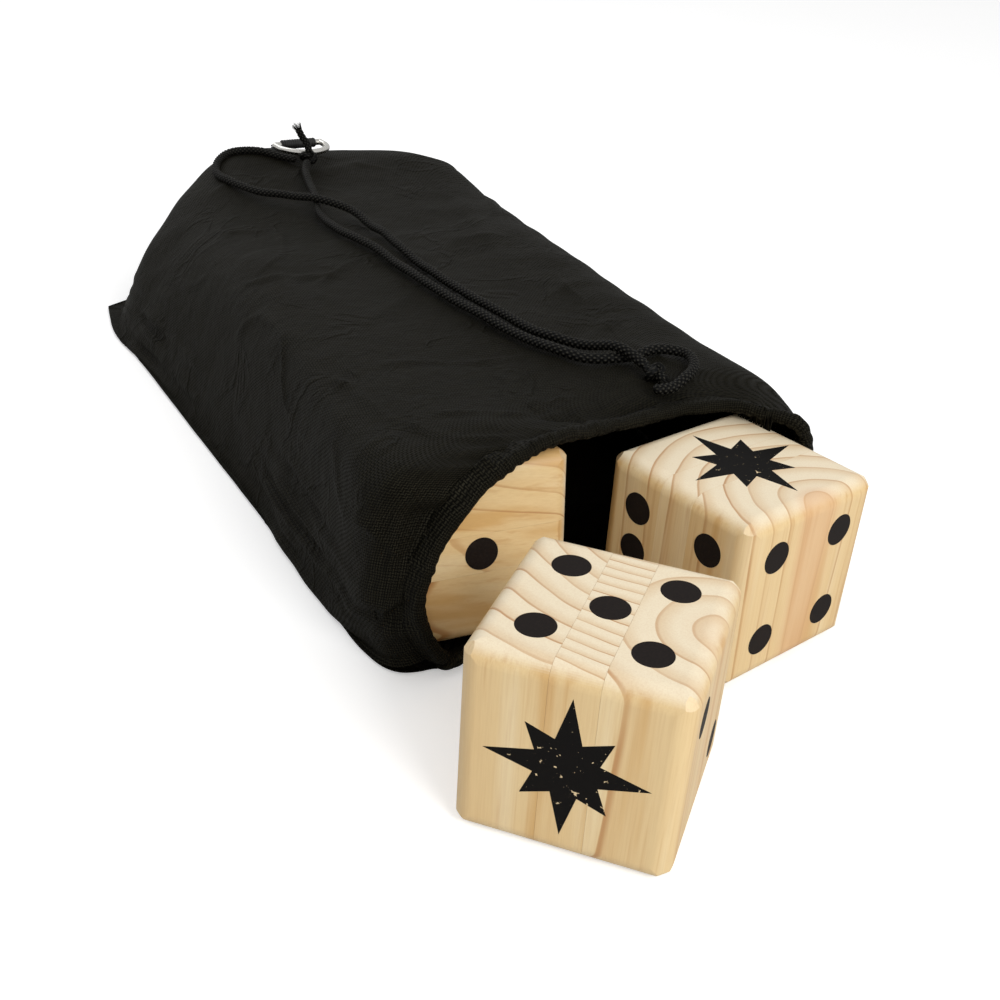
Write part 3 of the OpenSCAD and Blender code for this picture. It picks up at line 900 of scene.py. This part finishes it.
HITCH_MM = (-10, 415, 106.7)
RISING_MM = [
    (10, -34, 107.5), (26, -31, 108.3), (44, -18, 107.3), (52, 0, 106.5), (40, 10, 106.7),
    (22, 10, 106.8), (6, 14, 107), (-9, 30, 106.5), (-19, 72, 105), (-26, 114, 104),
    (-31, 158, 103.5), (-34, 216, 102), (-41, 263, 101), (-41, 304, 100.5), (-34, 332, 100.5),
    (-27, 366, 101), (-21, 392, 102.5), (-14, 408, 104.6),
]
FALLING_MM = [
    (-19, 419, 104.4), (-31, 431, 104.6), (-43, 444, 105.1), (-60, 449, 103.5), (-76, 430, 102),
    (-81, 405, 102), (-70, 368, 102.5), (-51, 340, 103.5), (-37, 318, 106), (-22, 294, 103),
    (-18, 252, 101.5), (-18, 212, 101.5), (-16, 135, 103.5), (-10, 89, 105), (-4, 53, 106), (7, 32, 107.5),
    (17, 12, 112.5), (22, -8, 109.3),
]
CORD_R = 0.0029
BRAID_STRANDS = 6


def even_path(points, step):
    """The smooth curve through points, cut into even steps."""
    dense = on_curve(points, np.linspace(0, 1, 4000))
    place = np.concatenate([[0], np.cumsum(np.linalg.norm(np.diff(dense, axis=0), axis=1))])
    s = np.linspace(0, place[-1], max(8, int(place[-1] / step)))
    return np.stack([np.interp(s, place, dense[:, k]) for k in range(3)], axis=1), s


def braid_height(s, angle, radius):
    """Plain braid of strands that wind both ways, each going over and under in turn."""
    pitch = math.tau * radius / BRAID_STRANDS * 1.15
    turn = angle / math.tau * BRAID_STRANDS
    u, v = turn + s / pitch, turn - s / pitch
    over = (np.floor(u) + np.floor(v)) % 2
    across = np.where(over > 0.5, u, v) % 1.0
    length = np.where(over > 0.5, v, u) % 1.0
    return np.sin(math.pi * across) ** 0.7 * (0.35 + 0.65 * np.sin(math.pi * length))


def braided_tube(points, radius, relief=0.0009, around=40, step=0.00045, level=(0, 0, 1)):
    """Points and faces of a braided cord along a path, closed and slightly drawn in at both ends."""
    path, s = even_path(points, step)
    along = unit_rows(np.gradient(path, axis=0))
    side = unit_rows(np.cross(along, np.broadcast_to(np.array(level, float), along.shape)))
    up = np.cross(side, along)
    angle = np.arange(around) / around * math.tau
    height = braid_height(s[:, None], angle[None], radius)
    r = radius - relief + relief * height
    end = np.minimum(s, s[-1] - s)
    r = r * np.clip(0.55 + 0.45 * end / 0.0012, 0, 1)[:, None]
    grid = path[:, None] + (np.cos(angle)[None, :, None] * side[:, None]
                            + np.sin(angle)[None, :, None] * up[:, None]) * r[..., None]
    count = len(path)
    faces = grid_quads(count, around, wrap=True)
    caps = [path[:1] - along[:1] * 0.0004, path[-1:] + along[-1:] * 0.0004]
    points = np.concatenate([grid.reshape(-1, 3), *caps])
    # How far each point lies on top of a strand; the braid material paints these tops lighter and the
    # hollows darker, as painted light and shade.
    crown_shading = np.concatenate([height.ravel(), [0, 0]])
    first, last = count * around, count * around + 1
    for k in range(around):
        m = (k + 1) % around
        faces.append((m, k, first))
        faces.append(((count - 1) * around + k, (count - 1) * around + m, last))
    return points, faces, crown_shading


def join_parts(name, parts, material):
    points, faces, crown_shading_values = [], [], []
    for part_points, part_faces, crown_shading in parts:
        start = len(points)
        points += list(part_points)
        faces += [tuple(start + i for i in f) for f in part_faces]
        crown_shading_values += list(crown_shading)
    obj = make_mesh(name, points, faces, material)
    # The painted strand-top light and shade, stored per point for the braid material.
    obj.data.attributes.new("crown_shading", "FLOAT", "POINT").data.foreach_set("value", crown_shading_values)
    return obj


def laid_on(bag, points_mm):
    """A cord's path lowered by as much as the cloth under it settled, and never inside the cloth."""
    path, _ = even_path(np.array(points_mm, float) * MM, 0.006)
    for p in path:
        cut, settled = bag.height(p[0], p[1], bag.cut), bag.height(p[0], p[1])
        if cut is None or settled is None:
            continue
        p[2] = max(p[2] - (cut - settled), settled + CORD_R * 0.93)
    smooth = path.copy()
    smooth[1:-1, 2] = (path[:-2, 2] + 2 * path[1:-1, 2] + path[2:, 2]) / 4
    return smooth


def knot_path(centre, size, turn, tilt):
    """A small trefoil, the way an overhand knot runs, pulled tight."""
    t = np.linspace(0, math.tau, 25)
    knot = np.stack([np.sin(t) + 2 * np.sin(2 * t), np.cos(t) - 2 * np.cos(2 * t),
                     -1.15 * np.sin(3 * t)], axis=1)
    spin = np.array(Euler((math.radians(tilt), 0, math.radians(turn)), "XYZ").to_matrix())
    return np.array(centre) + knot @ spin.T * size


def frayed_end(centre, direction, radius, count=46, length=0.006):
    """Loose fibres at a cut end."""
    parts = []
    direction = unit_rows(np.array(direction, float))
    side = unit_rows(np.cross(direction, (0.0, 0.0, 1.0)))
    up = np.cross(side, direction)
    for _ in range(count):
        a, r = rng.uniform(0, math.tau), radius * math.sqrt(rng.uniform(0, 1))
        lean = rng.uniform(0.0, 0.5)
        root = centre + (math.cos(a) * side + math.sin(a) * up) * r - direction * 0.002
        out = math.cos(a) * side + math.sin(a) * up
        tip = root + (direction + out * lean) * (0.003 + length * rng.uniform(0.3, 1.0) * 0.5)
        rings = []
        for f in np.linspace(0, 1, 4):
            middle = root + (tip - root) * f
            width = 0.00022 * (1 - 0.5 * f)
            rings.append([middle + width * (math.cos(b) * side + math.sin(b) * up)
                          for b in (0, math.tau / 3, 2 * math.tau / 3)])
        faces = grid_quads(4, 3, 0, wrap=True) + [(2, 1, 0), (9, 10, 11)]
        # Each fibre gets a middling value of the painted strand-top highlight.
        parts.append((np.array(rings).reshape(-1, 3), faces, [0.7] * 12))
    return parts


def make_cords(bag):
    rising, falling = laid_on(bag, RISING_MM), laid_on(bag, FALLING_MM)
    hitch = np.array(HITCH_MM) * MM
    hitch[2] = (rising[-1, 2] + falling[0, 2]) / 2 + 0.0022
    end_way = unit_rows(falling[-1] - falling[-3])
    end_knot = falling[-1] + end_way * 0.005
    from_knot = end_knot + end_way * 0.004
    tail = hitch + np.array([(0, 0, 0.003), (-0.001, 0.001, 0.009),
                             (-0.0045, 0.002, 0.0145), (-0.0075, 0.002, 0.0205)])
    strands = [braided_tube(rising, CORD_R), braided_tube(falling, CORD_R),
               braided_tube(tail, CORD_R * 0.95, level=(0, 1, 0)),
               braided_tube(np.array([end_knot, from_knot, from_knot + end_way * 0.006]), CORD_R)]
    strands += frayed_end(tail[-1], tail[-1] - tail[-2], CORD_R * 0.8)
    strands += frayed_end(from_knot + end_way * 0.006, end_way, CORD_R)
    knots = [braided_tube(path, CORD_R * 0.9, around=24, step=0.0006, level=(0.13, 0.21, 0.97))
             for path in (knot_path(hitch, 0.00175, 20, 12), knot_path(end_knot, 0.00135, 60, -15))]
    return (join_parts("braided_drawcord", strands, braid_fibre()),
            join_parts("drawcord_knots", knots, braid_fibre()))


def hem_inner_cord():
    """The cord inside the hem, which shows only where it comes out to make the loop."""
    path = mouth(np.arange(240) / 240 * len(MOUTH_MM))
    _, side, up = loop_frame(path, (0.0, 1.0, 0.0))
    angle = np.arange(12) / 12 * math.tau
    grid = path[:, None] + 0.0024 * (np.cos(angle)[None, :, None] * side[:, None]
                                     + np.sin(angle)[None, :, None] * up[:, None])
    faces = grid_quads(240, 12, wrap=True)
    faces += [(239 * 12 + k, 239 * 12 + (k + 1) % 12, (k + 1) % 12, k) for k in range(12)]
    return make_mesh("hem_inner_cord", grid, faces, braid_fibre())


# ---------------------------------------------------------------- ring tab

RING_AT = Vector((-0.006, 0.453, 0.1056))
RING_TURN = math.radians(6)
TAB_SLOPE = math.radians(-10)


def ring_place():
    return Matrix.Translation(RING_AT) @ Matrix.Rotation(RING_TURN, 4, "Z")


def tab_line():
    """Side view of the webbing, as (y, z): out along the top, round the bar, back underneath."""
    bore, tail = 0.0030, 0.0205
    run = np.array([math.cos(TAB_SLOPE), math.sin(TAB_SLOPE)])
    up = np.array([-run[1], run[0]])
    top = [run * tail * f + up * (-0.0016 + 0.0046 * (1 - f) ** 3) for f in np.linspace(1, 0, 14)]
    low = [run * tail * f - up * 0.0030 for f in np.linspace(0, 1, 14)]
    start = math.atan2(up[1], up[0])
    half_turn = np.linspace(start, start + math.pi, 15)[1:-1]
    bend = [bore * np.array([math.cos(a), math.sin(a)]) for a in half_turn]
    return np.array(top + bend + low)


def ring_webbing():
    line = tab_line()
    width, cols = 0.0275, 56
    across = np.linspace(-0.5, 0.5, cols)
    normal = np.stack([np.gradient(line[:, 1]), -np.gradient(line[:, 0])], axis=1)
    normal = normal / np.linalg.norm(normal, axis=1, keepdims=True)
    rib = 0.00016 * np.cos(across * math.tau * 13)
    grid = np.zeros((len(line), cols, 3))
    grid[..., 0] = across * width
    grid[..., 1:] = line[:, None] + normal[:, None] * rib[None, :, None]
    place = ring_place()
    points = [place @ Vector(p) for p in grid.reshape(-1, 3)]
    along = np.arange(len(line))[:, None] * 0.0015
    uv = np.stack(np.broadcast_arrays(across[None] * width, along), axis=-1)
    obj = make_mesh("ring_webbing", points, grid_quads(len(line), cols), webbing_cloth(), uv)
    solidify(obj, 0.0009, 0.0)
    return obj


# ---------------------------------------------------------------- studio

def camera():
    """Camera to the left of the mouth, looking down at the dice and along the bag."""
    turn, pitch, roll = math.radians(30.5), math.radians(31.85), math.radians(-4.70)
    ahead = Vector((math.sin(turn) * math.cos(pitch), math.cos(turn) * math.cos(pitch), -math.sin(pitch)))
    right0 = Vector((math.cos(turn), -math.sin(turn), 0))
    down0 = ahead.cross(right0)
    right = math.cos(roll) * right0 + math.sin(roll) * down0
    down = -math.sin(roll) * right0 + math.cos(roll) * down0
    data = bpy.data.cameras.new("camera")
    data.lens = 44.07
    data.sensor_width = 36
    data.shift_x = -0.0336
    data.shift_y = 0.0565
    data.clip_start = 0.01
    obj = bpy.data.objects.new("camera", data)
    axes = Matrix((right, -down, -ahead)).transposed().to_4x4()
    obj.matrix_world = Matrix.Translation((-0.3171, -0.4860, 0.3482)) @ axes
    bpy.context.scene.collection.objects.link(obj)
    bpy.context.scene.camera = obj


def soft_light(name, place, target, size, power, color=(1, 1, 1)):
    data = bpy.data.lights.new(name, "AREA")
    data.shape = "DISK"
    data.size = size
    data.energy = power
    data.color = color
    obj = bpy.data.objects.new(name, data)
    obj.location = place
    obj.rotation_euler = (Vector(target) - Vector(place)).to_track_quat("-Z", "Y").to_euler()
    bpy.context.scene.collection.objects.link(obj)


SKY_LIGHT = 0.63
SKY_SEEN = 1.05
FLOOR_REACH = 60
FLOOR_Z = -0.0002


def studio():
    corners = [(x * FLOOR_REACH, y * FLOOR_REACH, FLOOR_Z) for x, y in ((-1, -1), (1, -1), (1, 1), (-1, 1))]
    floor = make_mesh("floor", corners, [(0, 1, 2, 3)], floor_paint(), smooth=False)
    world = bpy.data.worlds.new("studio")
    bpy.context.scene.world = world
    world.use_nodes = True
    sky = world.node_tree
    sky.nodes["Background"].inputs["Color"].default_value = (1, 1, 1, 1)
    seen = sky.nodes.new("ShaderNodeLightPath").outputs["Is Camera Ray"]
    strength = sky.nodes.new("ShaderNodeMapRange")
    strength.inputs["To Min"].default_value = SKY_LIGHT
    strength.inputs["To Max"].default_value = SKY_SEEN
    sky.links.new(seen, strength.inputs["Value"])
    sky.links.new(strength.outputs[0], sky.nodes["Background"].inputs["Strength"])
    soft_light("key", (0.1, -1.45, 1.1), (0, 0.0, 0.05), 0.8, 16.5, (1.0, 0.99, 0.97))
    soft_light("back", (-0.4, 1.8, 1.4), (0, 0.2, 0.05), 1.4, 7)
    bpy.context.scene.view_settings.view_transform = "Standard"
    bpy.context.scene.view_settings.exposure = -0.1


@once
def floor_paint():
    """White to the camera, but a duller floor to the object, so that it throws less light up its sides."""
    n = Nodes("floor_paint")
    seen = n.add("LightPath").outputs["Is Camera Ray"]
    speck = n.noise(n.object_coords(), 3.0, 2.0)
    white = n.mix(speck, (0.88, 0.88, 0.88, 1), (0.9, 0.9, 0.9, 1))
    return n.finish(Base_Color=n.mix(seen, (0.66, 0.66, 0.66, 1), white), Roughness=0.9,
                    Emission_Color=(1, 1, 1, 1), Emission_Strength=n.math("MULTIPLY", seen, 0.42))


# ---------------------------------------------------------------- the object

def replace_soft_parts():
    bag = Bag()
    drawcord, knots = make_cords(bag)
    parts = [
        (bag.panel(), "bag", "bag_cloth", ["bag_upper_panel"]),
        (lower_cloth(bag), "bag", "bag_cloth", ["bag_lower_panel"]),
        (hem_roll(bag), "bag", "hem_cloth", ["bag_hem_channel"]),
        (hem_inner_cord(), "bag", "braided_cord", ["hem_cord"]),
        (hem_stitches(bag), "bag", "hem_cloth", []),
        (drawcord, "bag", "braided_cord", ["drawcord"]),
        (knots, "bag", "braided_cord", ["cord_knots"]),
        (ring_webbing(), "bag", "webbing", ["ring_tab"]),
    ]
    for obj, body, slot, nodes in parts:
        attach(obj, body)
        if nodes:
            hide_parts(*nodes)


dress_dice()
set_material(frame["nodes"]["d_ring"], ring_metal())
replace_soft_parts()
studio()
camera()
